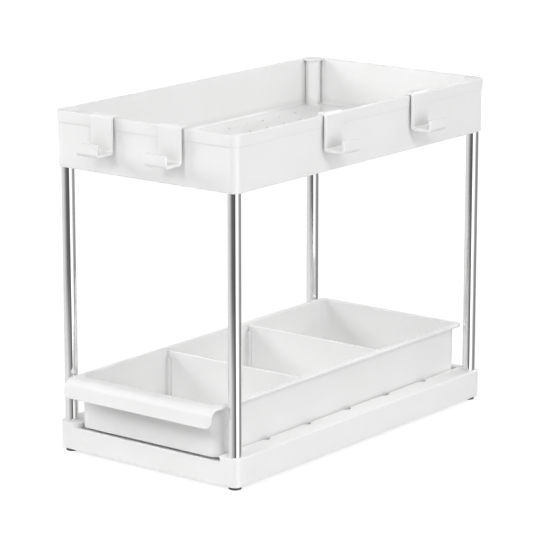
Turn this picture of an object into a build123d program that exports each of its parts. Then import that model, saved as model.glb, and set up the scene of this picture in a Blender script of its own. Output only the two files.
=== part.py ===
from build123d import *
import os

# A free-standing organizer: a low base, four upright tubes, an open tray on top, a drawer that slides
# on the base, loose dividers in the drawer and hooks over the tray's rim. Lengths are in millimetres.
# X runs across, -Y is the front, where the drawer opens, and Z is up. Every piece is modelled about
# the middle of the footprint, then moved so that the origin is the bottom centre of the whole.

# Footprint and tiers
footprint_width = 210.0
footprint_depth = 385.0
base_height = 26.4
tier_gap = 238.8
tray_height = 52.2
overrun = 6.0

# Upright tubes, each with its axis set in from the footprint's sides
tube_radius = 6.0
tube_wall = 1.0
tube_inset = 8.4
tube_fit = 0.05

# Base
base_wall = 2.4
base_plate = 2.4
base_corner_radius = 6.5
base_top_edge = 0.9
base_foot_edge = 0.7
channel_depth = 6.1
channel_side_clearance = 1.1
channel_back_clearance = 1.5
channel_mouth_radius = 6.0
mouth_lip_height = 1.2
mouth_lip_thickness = 1.6
mouth_lip_edge = 0.3
rail_width = 4.0
rail_inset = 21.5
rail_front_setback = 12.0
drain_slot_width = 10.0
drain_slot_pitch = 61.5
drain_slot_count = 5
drain_slot_reach = 5.0
base_rib_depth = 5.0
base_rib_thickness = 1.8
socket_wall = 2.0
socket_floor = 3.0

# Push-in feet, and the like plugs of the corner caps
foot_height = 3.1
foot_radius = 5.9
foot_edge = 0.5
stem_radius = 3.0
stem_fit = 0.2
barb_radius = 4.2
barb_height = 2.5
barb_gap = 0.3
barb_nose = 1.0

# Upper tray
tray_inset = 0.7
tray_wall = 2.2
tray_floor = 2.2
tray_floor_lift = 3.7
tray_corner_radius = 6.8
tray_cove = 2.5
tray_lip_edge = 0.7
band_height = 10.8
band_proud = 1.3
band_draft = 3.0
band_top_edge = 1.0
band_low_edge = 0.2
tray_foot_edge = 1.4
drain_hole_radius = 2.0
drain_hole_pitch = 26.0
drain_hole_margin = 14.0
post_wall = 1.5
post_shoulder = 2.5

# Corner caps
cap_radius = 10.0
cap_thickness = 1.6
cap_clearance = 0.3
cap_edge = 0.4

# Drawer, which runs on the base's rails, between the tubes
rim_tube_clearance = 4.27
drawer_lip_clearance = 1.4
drawer_height = 48.4
drawer_front_setback = 2.5
drawer_back_setback = 9.0
drawer_draft = 0.4
drawer_wall = 2.0
drawer_floor = 2.2
drawer_corner_radius = 10.0
drawer_cove = 2.6
drawer_foot_edge = 1.0
rim_overhang = 4.5
rim_thickness = 3.0
rim_edge = 1.2
rim_lip_edge = 0.7
rim_corner_radius = 7.0

# Drawer pull
pull_reach = 13.5
pull_flare = 4.5
pull_drop = 17.0
pull_thickness = 2.2
pull_bend = 9.0
pull_corner_radius = 6.0
pull_edge = 0.8

# Dividers and the guide ribs that hold their ends
compartment_count = 3
divider_thickness = 2.4
divider_edge = 0.9
divider_end_clearance = 0.5
divider_drop = 1.4
guide_thickness = 2.0
guide_reach = 4.0
guide_clearance = 0.3
guide_drop = 6.0

# Hooks
hook_width = 25.0
hook_thickness = 3.0
hook_gap = 3.0
hook_leg = 12.0
hook_leg_clearance = 0.4
hook_drop = 33.0
hook_reach = 20.0
hook_lip = 12.0
hook_top_bend = 2.2
hook_low_bend = 2.6
hook_edge = 0.9
front_hook_left_offset = 44.4
front_hook_right_offset = 34.8
side_hook_front_offset = 57.0
side_hook_back_offset = 77.4


def tan_degrees(angle):
    """The tangent of an angle in degrees, from the slope of a turned vector."""
    ray = Vector(1, 0, 0).rotate(Axis.Z, angle)
    return ray.Y / ray.X


# Heights
base_bottom = foot_height
base_top = base_bottom + base_height
channel_floor = base_top - channel_depth
mouth_lip_top = channel_floor + mouth_lip_height
tray_bottom = base_top + tier_gap
tray_floor_bottom = tray_bottom + tray_floor_lift
tray_floor_top = tray_floor_bottom + tray_floor
rim_top = tray_bottom + tray_height
band_bottom = rim_top - band_height
post_top = rim_top - cap_thickness
tube_bottom = base_bottom + socket_floor
tube_top = post_top - post_shoulder
drawer_bottom = mouth_lip_top + drawer_lip_clearance
drawer_inner_floor = drawer_bottom + drawer_floor
drawer_top = drawer_bottom + drawer_height
divider_top = drawer_top - divider_drop
guide_top = divider_top - guide_drop

# Plan sizes
half_width = footprint_width / 2
half_depth = footprint_depth / 2
tube_x = half_width - tube_inset
tube_y = half_depth - tube_inset
tube_bore = tube_radius - tube_wall
socket_radius = tube_radius + tube_fit
boss_radius = socket_radius + socket_wall
post_radius = socket_radius + post_wall
tray_half_width = half_width - tray_inset
tray_half_depth = half_depth - tray_inset
drawer_growth = tan_degrees(drawer_draft) * drawer_height
drawer_rim_half_width = tube_x - tube_radius - rim_tube_clearance
drawer_half_width = drawer_rim_half_width - rim_overhang - drawer_growth
drawer_width = 2 * drawer_half_width
rail_offset = drawer_half_width - rail_inset
drawer_front = -half_depth + drawer_front_setback
drawer_back = half_depth - drawer_back_setback
drawer_length = drawer_back - drawer_front
drawer_middle = (drawer_front + drawer_back) / 2
channel_half_width = drawer_half_width + channel_side_clearance
channel_back = drawer_back + channel_back_clearance
strap_face = hook_gap + hook_thickness
hook_far = strap_face + hook_reach

# Reach of the whole to each side, which sets the origin
reach_left = max(half_width, tray_half_width + band_proud)
reach_right = max(half_width, tray_half_width + band_proud, tray_half_width + hook_far)
reach_back = max(half_depth, tray_half_depth + band_proud)
reach_front = max(half_depth, tray_half_depth + hook_far, pull_reach + pull_flare - drawer_front)
origin_x = (reach_right - reach_left) / 2
origin_y = (reach_back - reach_front) / 2

CORNERS = {
    "front_left": (-1, -1),
    "front_right": (1, -1),
    "rear_left": (-1, 1),
    "rear_right": (1, 1),
}


def block(width, depth, low, high):
    """A plain block about the middle of the footprint, between two heights."""
    return Pos(0, 0, low) * extrude(Rectangle(width, depth), high - low)


def round_block(width, depth, radius, low, high):
    """A block with rounded upright corners, between two heights."""
    return Pos(0, 0, low) * extrude(RectangleRounded(width, depth, radius), high - low)


def rod(radius, low, high):
    return Pos(0, 0, low) * extrude(Circle(radius), high - low)


def edges_at(shape, height):
    """The edges that lie flat at one height."""
    level = shape.edges().filter_by_position(Axis.Z, height, height)
    return level.filter_by(GeomType.LINE) + level.filter_by(GeomType.CIRCLE)


def at_tube(corner):
    """The place of a tube's axis at one corner."""
    across, along = CORNERS[corner]
    return Pos(across * tube_x, along * tube_y, 0)


def four_corners(shape):
    """Copies of a shape on the tubes' axes."""
    return [at_tube(corner) * shape for corner in CORNERS]


def ledge_plan():
    """The raised part of the base's top: all round but for the drawer's channel, open at the front."""
    channel_length = channel_back + half_depth
    channel = Pos(0, channel_back - channel_length / 2) * Rectangle(2 * channel_half_width, channel_length)
    plan = RectangleRounded(footprint_width, footprint_depth, base_corner_radius) - channel
    front = plan.vertices().group_by(Axis.Y)[0]
    mouth = sorted(front, key=lambda corner: abs(corner.X))[:2]
    room = half_width - base_corner_radius - channel_half_width
    return fillet(mouth, min(channel_mouth_radius, room / 2))


def mouth_lip():
    """The low lip across the channel's mouth, which the drawer clears as it slides out."""
    width = 2 * (channel_half_width + channel_mouth_radius)
    lip = block(width, mouth_lip_thickness, channel_floor - base_plate / 2, mouth_lip_top)
    lip = fillet(lip.edges().filter_by(Axis.X).group_by(Axis.Z)[-1], mouth_lip_edge)
    return Pos(0, mouth_lip_thickness / 2 - half_depth, 0) * lip


def drawer_rails():
    """Two rails on the channel's floor that carry the drawer, from behind the lip to the back."""
    front = rail_front_setback - half_depth
    rail = block(rail_width, channel_back - front, channel_floor - base_plate / 2, drawer_bottom)
    return [Pos(side * rail_offset, (front + channel_back) / 2, 0) * rail for side in (-1, 1)]


def drain_slots():
    """Slots across the channel's floor that run a little way into the ledges."""
    length = 2 * (channel_half_width + drain_slot_reach)
    slot = extrude(SlotOverall(length, drain_slot_width), base_height + overrun)
    first = -drain_slot_pitch * (drain_slot_count - 1) / 2
    return [Pos(0, first + n * drain_slot_pitch, base_bottom) * slot for n in range(drain_slot_count)]


def base_ribs():
    """Cross ribs under the channel's floor, between the drain slots."""
    width = footprint_width - base_wall
    ceiling = channel_floor - base_plate
    rib = block(width, base_rib_thickness, ceiling - base_rib_depth, ceiling + base_plate / 2)
    first = -drain_slot_pitch * (drain_slot_count - 2) / 2
    return [Pos(0, first + n * drain_slot_pitch, 0) * rib for n in range(drain_slot_count - 1)]


def hollow_base(body):
    """Cuts the base open from below, up to its plate, and further up under both side ledges."""
    inner_width = footprint_width - 2 * base_wall
    inner_depth = footprint_depth - 2 * base_wall
    ceiling = channel_floor - base_plate
    inner_radius = base_corner_radius - base_wall
    body -= round_block(inner_width, inner_depth, inner_radius, base_bottom - overrun, ceiling)
    ledge_side = channel_half_width + base_wall
    ledge_room = inner_width / 2 - ledge_side
    recess_depth = inner_depth - 2 * inner_radius
    recess = block(ledge_room, recess_depth, ceiling - base_plate, base_top - base_plate)
    return body - [Pos(side * (ledge_side + ledge_room / 2), 0, 0) * recess for side in (-1, 1)]


def make_base_tray():
    outside = round_block(footprint_width, footprint_depth, base_corner_radius, base_bottom, base_top)
    lower = round_block(footprint_width, footprint_depth, base_corner_radius, base_bottom, channel_floor)
    body = lower + Pos(0, 0, channel_floor) * extrude(ledge_plan(), channel_depth)
    body = fillet(edges_at(body, base_top), base_top_edge)
    body = fillet(edges_at(body, base_bottom), base_foot_edge)
    body += [piece & outside for piece in [mouth_lip()] + drawer_rails()]
    body = hollow_base(body)
    boss = rod(boss_radius, base_bottom, base_top - base_plate / 2)
    body += [piece & outside for piece in base_ribs() + four_corners(boss)]
    body -= drain_slots()
    body -= four_corners(rod(socket_radius, tube_bottom, base_top + overrun))
    body -= four_corners(rod(stem_radius + stem_fit, base_bottom - overrun, base_top))
    return body


def barbed_stem(wall):
    """A push-in stem that passes a wall upwards from zero and catches behind it."""
    barb_low = wall + barb_gap
    barb = rod(barb_radius, barb_low, barb_low + barb_height)
    barb = chamfer(edges_at(barb, barb_low + barb_height), barb_nose)
    return rod(stem_radius, 0, barb_low + barb_height) + barb


def make_foot(corner):
    head = rod(foot_radius, 0, foot_height)
    head = fillet(edges_at(head, 0), foot_edge)
    foot = head + Pos(0, 0, foot_height) * barbed_stem(socket_floor)
    return at_tube(corner) * foot


def make_leg(corner):
    tube = rod(tube_radius, tube_bottom, tube_top) - rod(tube_bore, tube_bottom - overrun, tube_top + overrun)
    return at_tube(corner) * tube


def tray_inner(clearance, low, high):
    """The space inside the upper tray's walls, less a clearance."""
    width = 2 * (tray_half_width - tray_wall - clearance)
    depth = 2 * (tray_half_depth - tray_wall - clearance)
    return round_block(width, depth, tray_corner_radius - tray_wall - clearance, low, high)


def drain_hole_places():
    """A square grid of places, centred on the tray's floor and clear of its walls."""
    room_x = tray_half_width - tray_wall - drain_hole_margin
    room_y = tray_half_depth - tray_wall - drain_hole_margin
    count_x = int(room_x // drain_hole_pitch)
    count_y = int(room_y // drain_hole_pitch)
    steps_x = range(-count_x, count_x + 1)
    steps_y = range(-count_y, count_y + 1)
    return [Pos(i * drain_hole_pitch, j * drain_hole_pitch, 0) for i in steps_x for j in steps_y]


def tray_band():
    """The thick band round the tray's rim, which stands proud of the walls and widens upwards."""
    low_proud = band_proud - band_height * tan_degrees(band_draft)
    width = 2 * (tray_half_width + low_proud)
    depth = 2 * (tray_half_depth + low_proud)
    plan = RectangleRounded(width, depth, tray_corner_radius + low_proud)
    band = Pos(0, 0, band_bottom) * extrude(plan, band_height, taper=-band_draft)
    band = fillet(edges_at(band, rim_top), band_top_edge)
    return fillet(edges_at(band, band_bottom), band_low_edge)


def make_upper_tray():
    outside = round_block(2 * tray_half_width, 2 * tray_half_depth, tray_corner_radius, tray_bottom, post_top)
    outside = fillet(edges_at(outside, tray_bottom), tray_foot_edge)
    body = outside + tray_band()
    room = tray_inner(0, tray_floor_top, rim_top + overrun)
    body -= fillet(edges_at(room, tray_floor_top), tray_cove)
    lip = [edge for edge in edges_at(body, rim_top) if abs(edge.center().X) < tray_half_width - tray_wall / 2
           and abs(edge.center().Y) < tray_half_depth - tray_wall / 2]
    body = fillet(lip, tray_lip_edge)
    body -= tray_inner(0, tray_bottom - overrun, tray_floor_bottom)
    post = rod(post_radius, tray_bottom, post_top)
    body += [piece & outside for piece in four_corners(post)]
    body -= four_corners(rod(socket_radius, tray_bottom - overrun, tube_top))
    body -= four_corners(rod(stem_radius + stem_fit, tray_bottom, rim_top))
    hole = rod(drain_hole_radius, tray_floor_bottom - overrun, tray_floor_top + overrun)
    body -= [place * hole for place in drain_hole_places()]
    return body


def make_cap(corner):
    plate = at_tube(corner) * rod(cap_radius, post_top, rim_top)
    plate &= tray_inner(cap_clearance, post_top, rim_top)
    plate = fillet(edges_at(plate, rim_top), cap_edge)
    stem = Pos(0, 0, post_top) * mirror(barbed_stem(post_shoulder), Plane.XY)
    return plate + at_tube(corner) * stem


def drawer_body(clearance, low, high):
    """The drawer's tapered outer form, less a wall or clearance, between two heights."""
    full = drawer_height + overrun
    width = drawer_width - 2 * clearance
    length = drawer_length - 2 * clearance
    plan = RectangleRounded(width, length, drawer_corner_radius - clearance)
    form = Pos(0, drawer_middle, drawer_bottom) * extrude(plan, full, taper=-drawer_draft)
    return form & block(footprint_width + overrun, 2 * (footprint_depth + overrun), low, high)


def divider_places():
    """Where the dividers stand along the drawer, in equal steps between its end walls."""
    room = (drawer_length - 2 * drawer_wall) / compartment_count
    first = drawer_front + drawer_wall + room
    return [first + n * room for n in range(compartment_count - 1)]


def guide_ribs():
    """Pairs of upright ribs on both side walls, one pair at each end of each divider."""
    inner = drawer_half_width - drawer_wall - guide_reach
    outer = drawer_half_width - drawer_wall / 2
    rib = block(outer - inner, guide_thickness, drawer_inner_floor - drawer_floor / 2, guide_top)
    step = (divider_thickness + guide_thickness) / 2 + guide_clearance
    ribs = []
    for place in divider_places():
        for side in (-1, 1):
            for way in (-1, 1):
                ribs.append(Pos(side * (inner + outer) / 2, place + way * step, 0) * rib)
    return ribs


def pull():
    """The drawer's front pull: the rim runs out over the front, bends down and flares at its lip."""
    back = drawer_front + drawer_wall
    bend = drawer_front - pull_reach
    lip = bend - pull_flare
    low = drawer_top - pull_drop
    slope = pull_flare / pull_drop
    inner_bend = bend + pull_thickness - slope * pull_thickness
    outline = Polyline(
        (back, drawer_top),
        (bend, drawer_top),
        (lip, low),
        (lip + pull_thickness, low),
        (inner_bend, drawer_top - pull_thickness),
        (back, drawer_top - pull_thickness),
        close=True,
    )
    section = make_face(outline)
    outer_corner = section.vertices().sort_by_distance((bend, drawer_top))[0]
    section = fillet(outer_corner, pull_bend)
    inner_corner = section.vertices().sort_by_distance((inner_bend, drawer_top - pull_thickness))[0]
    section = fillet(inner_corner, pull_bend - pull_thickness)
    half = drawer_rim_half_width
    bar = extrude(Plane.YZ * section, half, both=True)
    face = Pos(0, drawer_top, 0) * Rectangle(2 * half, 2 * pull_drop)
    face = fillet(face.vertices().sort_by(Axis.Y)[:2], pull_corner_radius)
    bar &= extrude(Plane.XZ * face, pull_reach + pull_flare - drawer_front + overrun)
    long_edges = [edge for edge in bar.edges() if edge.length > 2 * pull_thickness]
    rounded = [edge for edge in long_edges
               if abs(edge.center().X) > half / 2 or edge.center().Z < low + pull_edge]
    return fillet(rounded, pull_edge)


def drawer_rim():
    """A flat rim round the sides and back of the drawer, which the pull continues at the front."""
    half = drawer_rim_half_width
    back = drawer_back + half - drawer_half_width
    front = drawer_front
    plate = Rectangle(2 * half, back - front)
    rear = plate.vertices().sort_by(Axis.Y)[2:]
    plate = fillet(rear, rim_corner_radius)
    rim = Pos(0, (front + back) / 2, drawer_top - rim_thickness) * extrude(plate, rim_thickness)
    outer = [edge for edge in rim.edges() if edge.center().Y > front + rim_thickness / 2
             and abs(edge.center().Z - (drawer_top - rim_thickness / 2)) > rim_thickness / 4]
    return fillet(outer, rim_edge)


def make_drawer():
    shell = drawer_body(0, drawer_bottom, drawer_top - rim_edge)
    shell = fillet(edges_at(shell, drawer_bottom), drawer_foot_edge)
    shell += drawer_rim()
    shell += pull()
    room = drawer_body(drawer_wall, drawer_inner_floor, drawer_top + overrun)
    room = fillet(edges_at(room, drawer_inner_floor), drawer_cove)
    shell -= room
    lip = [edge for edge in edges_at(shell, drawer_top) if abs(edge.center().X) < drawer_half_width
           and drawer_front < edge.center().Y < drawer_back]
    shell = fillet(lip, rim_lip_edge)
    return shell + guide_ribs()


def make_divider(place):
    """A loose panel whose ends stand between the guide ribs."""
    slab = block(footprint_width, divider_thickness, drawer_inner_floor, divider_top)
    slab = fillet(slab.edges().filter_by(Axis.X).group_by(Axis.Z)[-1], divider_edge)
    room = drawer_body(drawer_wall + divider_end_clearance, drawer_inner_floor, divider_top)
    relief = drawer_cove + divider_end_clearance
    body = room & (Pos(0, place, 0) * slab)
    low = [edge for edge in body.edges().filter_by(Axis.Y)
           if edge.center().Z < drawer_inner_floor + relief and abs(edge.center().X) > rail_offset]
    return fillet(low, relief)


def hook():
    """A hook over a wall whose outer face is at X zero: it hangs on the rim and opens outwards."""
    centre = hook_thickness / 2
    leg_x = -(tray_wall + hook_leg_clearance + centre)
    strap_x = hook_gap + centre
    lip_x = hook_far - centre
    top_z = rim_top + centre
    low_z = rim_top - hook_drop + centre
    path = FilletPolyline(
        (leg_x, rim_top - hook_leg),
        (leg_x, top_z),
        (strap_x, top_z),
        (strap_x, low_z),
        (lip_x, low_z),
        (lip_x, low_z - centre + hook_lip),
        radius=[hook_top_bend, hook_top_bend, hook_low_bend, hook_low_bend],
    )
    band = trace(path, hook_thickness)
    body = extrude(Plane.XZ * band, hook_width / 2, both=True)
    return fillet(body.edges().filter_by(GeomType.LINE).filter_by(Axis.Y, reverse=True)
                  + body.edges().filter_by(GeomType.CIRCLE), hook_edge)


def hook_places():
    """Every hook's name and place: on the front rim and on the right-hand rim."""
    front = Pos(0, -tray_half_depth, 0) * Rot(0, 0, -90)
    return {
        "front_left_hook": Pos(-front_hook_left_offset, 0, 0) * front,
        "front_right_hook": Pos(front_hook_right_offset, 0, 0) * front,
        "side_front_hook": Pos(tray_half_width, -side_hook_front_offset, 0),
        "side_rear_hook": Pos(tray_half_width, side_hook_back_offset, 0),
    }


def save(shape, name):
    """Writes one piece, moved so that the origin is the bottom centre of the whole."""
    export_step(Pos(-origin_x, -origin_y, 0) * shape, f"parts/{name}.step")


def main():
    os.makedirs("parts", exist_ok=True)
    save(make_base_tray(), "base_tray")
    save(make_upper_tray(), "upper_tray")
    for corner in CORNERS:
        save(make_leg(corner), f"{corner}_leg")
        save(make_foot(corner), f"{corner}_foot")
        save(make_cap(corner), f"{corner}_cap")
    save(make_drawer(), "drawer")
    for name, place in zip(("front_divider", "rear_divider"), divider_places()):
        save(make_divider(place), name)
    one_hook = hook()
    for name, place in hook_places().items():
        save(place * one_hook, name)


main()
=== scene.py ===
"""Looks of the under sink organizer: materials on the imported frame, studio and camera.

Sizes are in metres, angles in degrees and lamp powers in watts. A bearing is 0 in front of the
organizer and grows to its right. Tones are linear, from 0 for black to 1 for white. Noise scales
are in cells per metre.
"""
import math

import bpy
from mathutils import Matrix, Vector


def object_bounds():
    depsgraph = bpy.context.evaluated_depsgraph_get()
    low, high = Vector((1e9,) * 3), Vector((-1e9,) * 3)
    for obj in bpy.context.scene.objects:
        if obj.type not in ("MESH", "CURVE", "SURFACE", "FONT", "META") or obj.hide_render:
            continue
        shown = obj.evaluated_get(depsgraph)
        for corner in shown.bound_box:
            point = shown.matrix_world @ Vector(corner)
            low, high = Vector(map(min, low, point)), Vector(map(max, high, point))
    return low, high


# White plastic
PLASTIC_TONE = 0.885
# The base's plastic is painted a brighter tone than the rest, standing in for the stronger light
# on it
BASE_PAINTED_LIGHT_TONE = 0.93
CLOUD_SCALE = 14.0
CLOUD_CONTRAST = 0.012
SPECK_SCALE = 2200.0
SPECK_SHARE = 0.3
SPECK_DEPTH = 0.03
# Shade painted into inner corners and creases: within a reach, the colour darkens where the
# piece's own surfaces close in
PAINTED_SHADE_REACH = 0.008
TRAY_PAINTED_SHADE_REACH = 0.012
HOOK_PAINTED_SHADE_REACH = 0.02
PAINTED_SHADE_SHARE = 0.42
PAINTED_SHADE_DEPTH = 0.4
PLASTIC_HAZE_SCALE = 90.0
PLASTIC_ROUGHNESS = (0.29, 0.36)
PLASTIC_IOR = 1.49
FLOW_SCALE = 60.0
FLOW_STRETCH = (1.0, 1.0, 0.35)
FLOW_BUMP = (0.12, 0.0004)
GRAIN_SCALE = 2600.0
GRAIN_BUMP = (0.22, 0.00006)

# Chromed tubes
CHROME_TONES = (0.86, 0.9)
CHROME_HAZE_SCALE = 45.0
CHROME_ROUGHNESS = (0.07, 0.11)
LINE_SCALE = 1400.0
LINE_STRETCH = (1.0, 1.0, 0.02)
LINE_BUMP = (0.06, 0.00002)

# Rubber feet
RUBBER_TONE = 0.08
DUST_TONE = 0.15
DUST_SCALE = 160.0
DUST_SHARE = 0.6
PEBBLE_SCALE = 900.0
PEBBLE_BUMP = (0.35, 0.0001)
RUBBER_ROUGHNESS = (0.62, 0.8)
RUBBER_IOR = 1.45

# The middle range of a noise's values
NOISE_LOW, NOISE_HIGH = 0.3, 0.7

# Floor: its own tone lights the organizer, the shown tone and a glow make it white to the camera
FLOOR_HALF = 8.0
FLOOR_LIT_TONE = 0.8
FLOOR_SHOWN_TONE = 0.3
GLOW_REACH = (0.4, 2.0)
GLOW_STRENGTH = (0.8, 1.0)

# Card ring, with its tones by bearing above and below the height at which it turns paler
RING_RADIUS = 1.5
RING_BOTTOM = -1.6
RING_TOP = 2.0
RING_PANELS = 96
UPPER_CARDS_END = -0.15
LOWER_CARDS_START = -0.28
UPPER_CARDS = (
    (-180, 0.32),
    (-150, 0.72),
    (-88, 0.8),
    (-58, 0.78),
    (-34, 0.62),
    (-14, 0.36),
    (2, 0.13),
    (22, 0.13),
    (40, 0.09),
    (50, 0.1),
    (58, 0.95),
    (70, 1.9),
    (84, 1.9),
    (98, 1.0),
    (114, 0.45),
    (134, 0.27),
    (180, 0.32),
)
LOWER_CARDS = (
    (-180, 0.32),
    (-150, 0.72),
    (-88, 0.82),
    (-33, 0.86),
    (-17, 0.82),
    (-2, 0.61),
    (12, 0.44),
    (26, 0.34),
    (38, 0.18),
    (51, 0.06),
    (60, 0.8),
    (70, 1.9),
    (84, 1.9),
    (98, 1.0),
    (114, 0.45),
    (134, 0.27),
    (180, 0.32),
)

# Surround
HORIZON_FILL = 0.31
OVERHEAD_FILL = 0.0

# Softboxes: name, bearing, elevation, size, power
LAMP_DISTANCE = 2.4
LAMPS = (
    ("left_softbox", -60.0, 25.0, 0.9, 25.7),
    ("front_softbox", 0.0, 35.0, 0.9, 15.8),
    ("right_softbox", 60.0, 40.0, 0.9, 15.6),
    ("side_softbox", 90.0, 15.0, 1.8, 19.5),
    ("back_softbox", 170.0, 40.0, 0.9, 20.1),
)

# Camera, worked out from the tubes, rims and corners in the photograph
CAMERA_TARGET = (-0.02013, 0.01235, 0.14962)
CAMERA_DISTANCE = 2.6687
CAMERA_BEARING = 37.968
CAMERA_ELEVATION = 13.425
CAMERA_SENSOR_MM = 36.0
CAMERA_LENS_MM = 187.707
CAMERA_REACH = 60.0

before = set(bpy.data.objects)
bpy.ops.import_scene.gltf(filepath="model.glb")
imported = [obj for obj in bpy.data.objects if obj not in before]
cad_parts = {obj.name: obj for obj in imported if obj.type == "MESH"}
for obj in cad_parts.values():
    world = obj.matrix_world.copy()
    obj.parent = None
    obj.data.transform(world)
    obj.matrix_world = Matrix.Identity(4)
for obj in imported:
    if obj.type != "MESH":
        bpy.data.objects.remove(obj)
cad_low, cad_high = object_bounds()
scene = bpy.context.scene


class Nodes:
    """A node tree that is filled in order, with links given as inputs."""

    def __init__(self, tree):
        self.tree = tree
        self.tree.nodes.clear()

    def put(self, value, socket):
        """Links another node's output to a socket, or sets the socket to a plain value."""
        if isinstance(value, bpy.types.NodeSocket):
            self.tree.links.new(value, socket)
        else:
            socket.default_value = value

    def add(self, kind, inputs=None, **settings):
        node = self.tree.nodes.new(kind)
        for name, value in settings.items():
            setattr(node, name, value)
        for name, value in (inputs or {}).items():
            self.put(value, node.inputs[name])
        return node

    def math(self, operation, first, second):
        return self.add("ShaderNodeMath", {0: first, 1: second}, operation=operation).outputs[0]

    def remap(self, value, low, high, new_low, new_high):
        inputs = {0: value, 1: low, 2: high, 3: new_low, 4: new_high}
        return self.add("ShaderNodeMapRange", inputs).outputs[0]

    def noise(self, place, scale, detail, roughness=0.5):
        inputs = {"Vector": place, "Scale": scale, "Detail": detail, "Roughness": roughness}
        return self.add("ShaderNodeTexNoise", inputs).outputs["Fac"]

    def blend(self, factor, first, second):
        node = self.add("ShaderNodeMix", data_type="RGBA")
        self.put(factor, node.inputs[0])
        self.put(first, node.inputs[6])
        self.put(second, node.inputs[7])
        return node.outputs[2]

    def bump(self, height, strength, distance, normal=None):
        inputs = {"Height": height, "Strength": strength, "Distance": distance}
        if normal is not None:
            inputs["Normal"] = normal
        return self.add("ShaderNodeBump", inputs).outputs[0]

    def surface(self, inputs):
        """Ends a material with a principled shader."""
        shader = self.add("ShaderNodeBsdfPrincipled", inputs)
        self.add("ShaderNodeOutputMaterial", {"Surface": shader.outputs[0]})


def grey(value, warmth=0.0):
    """A neutral tone, a little warm or cool."""
    return (value * (1 + warmth), value, value * (1 - warmth), 1.0)


def new_material(name):
    material = bpy.data.materials.new(name)
    material.use_nodes = True
    return material, Nodes(material.node_tree)


def object_place(nodes, shift, stretch=(1.0, 1.0, 1.0)):
    """Coordinates fixed to the piece, shifted so that no two materials have the same marks."""
    place = nodes.add("ShaderNodeTexCoord").outputs["Object"]
    inputs = {"Vector": place, "Location": (shift, 0.37 * shift, 0.61 * shift), "Scale": stretch}
    return nodes.add("ShaderNodeMapping", inputs).outputs[0]


def white_plastic(name, shift, tone=PLASTIC_TONE, painted_shade_reach=PAINTED_SHADE_REACH):
    """Satin white moulded plastic: spark texture, faint flow marks, haze, and shade painted darker
    into inner corners and creases.
    """
    material, nodes = new_material(name)
    place = object_place(nodes, shift)
    cloud = nodes.noise(place, CLOUD_SCALE, 4.0)
    speck = nodes.noise(place, SPECK_SCALE, 1.0)
    flow = nodes.noise(object_place(nodes, shift + 2.0, FLOW_STRETCH), FLOW_SCALE, 3.0)
    haze = nodes.noise(place, PLASTIC_HAZE_SCALE, 6.0, 0.6)
    grain = nodes.noise(place, GRAIN_SCALE, 2.0, 0.55)
    broad = nodes.blend(
        nodes.remap(cloud, NOISE_LOW, NOISE_HIGH, 0.0, 1.0),
        grey(tone - CLOUD_CONTRAST, 0.003),
        grey(tone + CLOUD_CONTRAST),
    )
    speckled = nodes.remap(speck, 0.35, NOISE_HIGH, 0.0, SPECK_SHARE)
    mottled = nodes.blend(speckled, broad, grey(tone - SPECK_DEPTH, 0.004))
    # Painted shade: darker where an occlusion probe finds the piece's own surfaces close by, in
    # corners and creases
    openness = nodes.add(
        "ShaderNodeAmbientOcclusion", {"Distance": painted_shade_reach}, samples=8, only_local=True
    ).outputs["AO"]
    painted_shade = nodes.remap(openness, 0.4, 0.88, PAINTED_SHADE_SHARE, 0.0)
    colour = nodes.blend(painted_shade, mottled, grey(tone - PAINTED_SHADE_DEPTH, 0.01))
    # A roughness that crosses 0.274 would leave small hard-edged marks after denoising
    rough = nodes.remap(haze, NOISE_LOW, NOISE_HIGH, *PLASTIC_ROUGHNESS)
    waves = nodes.bump(flow, *FLOW_BUMP)
    normal = nodes.bump(grain, *GRAIN_BUMP, waves)
    nodes.surface({"Base Color": colour, "Roughness": rough, "IOR": PLASTIC_IOR, "Normal": normal})
    return material


def chrome(name):
    """Bright plated steel tube, with faint drawn lines along it and a little haze."""
    material, nodes = new_material(name)
    place = object_place(nodes, 3.0)
    lines = nodes.noise(object_place(nodes, 5.0, LINE_STRETCH), LINE_SCALE, 3.0)
    haze = nodes.noise(place, CHROME_HAZE_SCALE, 5.0, 0.6)
    dull, bright = CHROME_TONES
    hazed = nodes.remap(haze, NOISE_LOW, NOISE_HIGH, 0.0, 1.0)
    colour = nodes.blend(hazed, grey(dull, -0.004), grey(bright, 0.002))
    rough = nodes.remap(haze, NOISE_LOW, NOISE_HIGH, *CHROME_ROUGHNESS)
    normal = nodes.bump(lines, *LINE_BUMP)
    nodes.surface({"Base Color": colour, "Metallic": 1.0, "Roughness": rough, "Normal": normal})
    return material


def rubber(name):
    """Matt dark grey rubber with a fine pebbled skin and pale dust in its pits."""
    material, nodes = new_material(name)
    place = object_place(nodes, 7.0)
    pebbles = nodes.noise(place, PEBBLE_SCALE, 3.0)
    dust = nodes.noise(place, DUST_SCALE, 5.0, 0.65)
    dusty = nodes.remap(dust, 0.45, 0.75, 0.0, DUST_SHARE)
    colour = nodes.blend(dusty, grey(RUBBER_TONE), grey(DUST_TONE, 0.01))
    rough = nodes.remap(pebbles, NOISE_LOW, NOISE_HIGH, *RUBBER_ROUGHNESS)
    normal = nodes.bump(pebbles, *PEBBLE_BUMP)
    nodes.surface({"Base Color": colour, "Roughness": rough, "IOR": RUBBER_IOR, "Normal": normal})
    return material


def dress(node, material):
    """Puts a material in every slot of a node of the frame."""
    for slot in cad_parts[node].material_slots:
        slot.material = material


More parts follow.
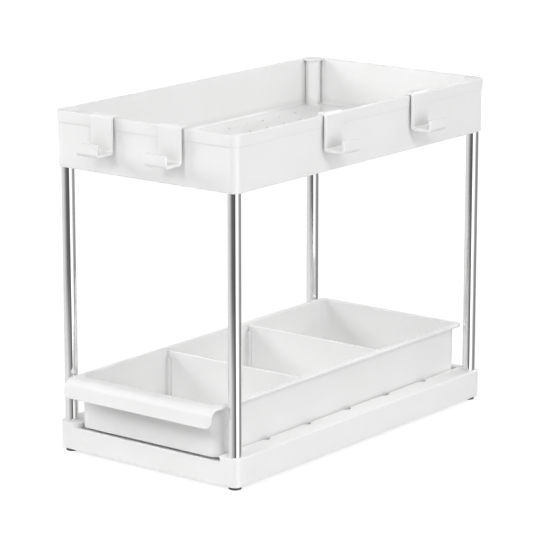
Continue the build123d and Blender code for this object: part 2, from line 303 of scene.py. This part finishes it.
def dress_pieces():
    # Painted light: the base gets a brighter copy of the white plastic
    base_plastic = white_plastic("base_plastic", 11.0, BASE_PAINTED_LIGHT_TONE)
    tray_plastic = white_plastic("tray_plastic", 13.0, painted_shade_reach=TRAY_PAINTED_SHADE_REACH)
    drawer_plastic = white_plastic("drawer_plastic", 17.0)
    divider_plastic = white_plastic("divider_plastic", 19.0)
    hook_plastic = white_plastic("hook_plastic", 23.0, painted_shade_reach=HOOK_PAINTED_SHADE_REACH)
    cap_plastic = white_plastic("cap_plastic", 29.0)
    tube_chrome = chrome("tube_chrome")
    foot_rubber = rubber("foot_rubber")

    dress("base_tray", base_plastic)
    dress("upper_tray", tray_plastic)
    dress("drawer", drawer_plastic)
    for divider in ("front_divider", "rear_divider"):
        dress(divider, divider_plastic)
    for hook in ("front_left_hook", "front_right_hook", "side_front_hook", "side_rear_hook"):
        dress(hook, hook_plastic)
    for corner in ("front_left", "front_right", "rear_left", "rear_right"):
        dress(corner + "_cap", cap_plastic)
        dress(corner + "_leg", tube_chrome)
        dress(corner + "_foot", foot_rubber)


def new_object(name, points, faces):
    mesh = bpy.data.meshes.new(name)
    mesh.from_pydata(points, [], faces)
    thing = bpy.data.objects.new(name, mesh)
    scene.collection.objects.link(thing)
    return thing


def floor():
    """A pale floor that keeps the shadow and fades to white away from the organizer."""
    low, high = -FLOOR_HALF, FLOOR_HALF
    corners = [(low, low, 0), (high, low, 0), (high, high, 0), (low, high, 0)]
    plane = new_object("floor", corners, [(0, 1, 2, 3)])
    material, nodes = new_material("floor_paper")
    rays = nodes.add("ShaderNodeLightPath").outputs
    lit = nodes.add("ShaderNodeBsdfDiffuse", {"Color": grey(FLOOR_LIT_TONE)}).outputs[0]
    shown = nodes.add("ShaderNodeBsdfDiffuse", {"Color": grey(FLOOR_SHOWN_TONE)}).outputs[0]
    place = nodes.add("ShaderNodeTexCoord").outputs["Object"]
    reach = nodes.add("ShaderNodeVectorMath", {0: place}, operation="LENGTH").outputs["Value"]
    strength = nodes.remap(reach, *GLOW_REACH, *GLOW_STRENGTH)
    glow = nodes.add("ShaderNodeEmission", {"Color": grey(1.0), "Strength": strength}).outputs[0]
    both = nodes.add("ShaderNodeAddShader", {0: shown, 1: glow}).outputs[0]
    seen = rays["Is Camera Ray"]
    mixed = nodes.add("ShaderNodeMixShader", {0: seen, 1: lit, 2: both}).outputs[0]
    nodes.add("ShaderNodeOutputMaterial", {"Surface": mixed})
    plane.data.materials.append(material)
    plane.visible_glossy = False


def bearing_tones(nodes, share, cards):
    """Tones from (bearing, tone) pairs, by a bearing's share of the way from -180 to 180."""
    ramp = nodes.add("ShaderNodeValToRGB", {"Fac": share})
    elements = ramp.color_ramp.elements
    while len(elements) < len(cards):
        elements.new(0.5)
    for element, (bearing, _) in zip(elements, cards):
        element.position = (bearing + 180) / 360
    for element, (_, tone) in zip(elements, cards):
        element.color = grey(tone)
    return ramp.outputs[0]


def card_ring():
    """Light and dark cards round the set, which only the reflections show.

    Their glow is painted paler low down in front, standing in for the floor's light on them.
    """
    points, faces = [], []
    for i in range(RING_PANELS):
        turn = 2 * math.pi * i / RING_PANELS
        for height in (RING_BOTTOM, RING_TOP):
            points.append((RING_RADIUS * math.sin(turn), -RING_RADIUS * math.cos(turn), height))
    for i in range(RING_PANELS):
        j = (i + 1) % RING_PANELS
        faces.append((2 * i, 2 * j, 2 * j + 1, 2 * i + 1))
    ring = new_object("card_ring", points, faces)
    material, nodes = new_material("cards")
    place = nodes.add("ShaderNodeTexCoord").outputs["Object"]
    split = nodes.add("ShaderNodeSeparateXYZ", {0: place}).outputs
    front = nodes.math("MULTIPLY", split["Y"], -1.0)
    bearing = nodes.math("ARCTAN2", split["X"], front)
    share = nodes.remap(bearing, -math.pi, math.pi, 0.0, 1.0)
    lowness = nodes.remap(split["Z"], UPPER_CARDS_END, LOWER_CARDS_START, 0.0, 1.0)
    upper = bearing_tones(nodes, share, UPPER_CARDS)
    lower = bearing_tones(nodes, share, LOWER_CARDS)
    tones = nodes.blend(lowness, upper, lower)
    glow = nodes.add("ShaderNodeEmission", {"Color": tones, "Strength": 1.0}).outputs[0]
    nodes.add("ShaderNodeOutputMaterial", {"Surface": glow})
    ring.data.materials.append(material)
    ring.visible_camera = False
    ring.visible_diffuse = False
    ring.visible_transmission = False
    ring.visible_shadow = False


def sky():
    """A surround that shows white, and whose fill light is stronger near the horizon."""
    world = bpy.data.worlds.new("studio")
    world.use_nodes = True
    nodes = Nodes(world.node_tree)
    way = nodes.add("ShaderNodeTexCoord").outputs["Generated"]
    rise = nodes.add("ShaderNodeSeparateXYZ", {0: way}).outputs["Z"]
    strength = nodes.remap(rise, 0.0, 1.0, HORIZON_FILL, OVERHEAD_FILL)
    rays = nodes.add("ShaderNodeLightPath").outputs
    seen = nodes.math("ADD", rays["Is Camera Ray"], rays["Is Glossy Ray"])
    seen = nodes.math("ADD", seen, rays["Is Transmission Ray"])
    seen = nodes.math("MINIMUM", seen, 1.0)
    fill = nodes.add("ShaderNodeBackground", {"Color": grey(1.0), "Strength": strength}).outputs[0]
    white = nodes.add("ShaderNodeBackground", {"Color": grey(1.0), "Strength": 1.0}).outputs[0]
    mixed = nodes.add("ShaderNodeMixShader", {0: seen, 1: fill, 2: white}).outputs[0]
    nodes.add("ShaderNodeOutputWorld", {"Surface": mixed})
    scene.world = world


def direction(bearing, elevation):
    """The unit vector that points away from the organizer at a bearing and elevation."""
    turn, rise = math.radians(bearing), math.radians(elevation)
    return Vector(
        (
            math.sin(turn) * math.cos(rise),
            -math.cos(turn) * math.cos(rise),
            math.sin(rise),
        )
    )


def lamp(name, bearing, elevation, size, power):
    """A square softbox, aimed at the middle of the organizer."""
    data = bpy.data.lights.new(name, "AREA")
    data.shape = "SQUARE"
    data.size = size
    data.energy = power
    box = bpy.data.objects.new(name, data)
    scene.collection.objects.link(box)
    away = direction(bearing, elevation)
    middle = (cad_low + cad_high) / 2
    box.location = middle + LAMP_DISTANCE * away
    box.rotation_euler = away.to_track_quat("Z", "Y").to_euler()


def camera():
    """The photograph's own view."""
    data = bpy.data.cameras.new("camera")
    data.sensor_width = CAMERA_SENSOR_MM
    data.lens = CAMERA_LENS_MM
    data.clip_end = CAMERA_REACH
    eye = bpy.data.objects.new("camera", data)
    scene.collection.objects.link(eye)
    away = direction(CAMERA_BEARING, CAMERA_ELEVATION)
    eye.location = Vector(CAMERA_TARGET) + CAMERA_DISTANCE * away
    tilt = math.pi / 2 - math.radians(CAMERA_ELEVATION)
    eye.rotation_euler = (tilt, 0.0, math.radians(CAMERA_BEARING))
    scene.camera = eye


dress_pieces()
floor()
card_ring()
sky()
for settings in LAMPS:
    lamp(*settings)
camera()
scene.view_settings.view_transform = "Standard"
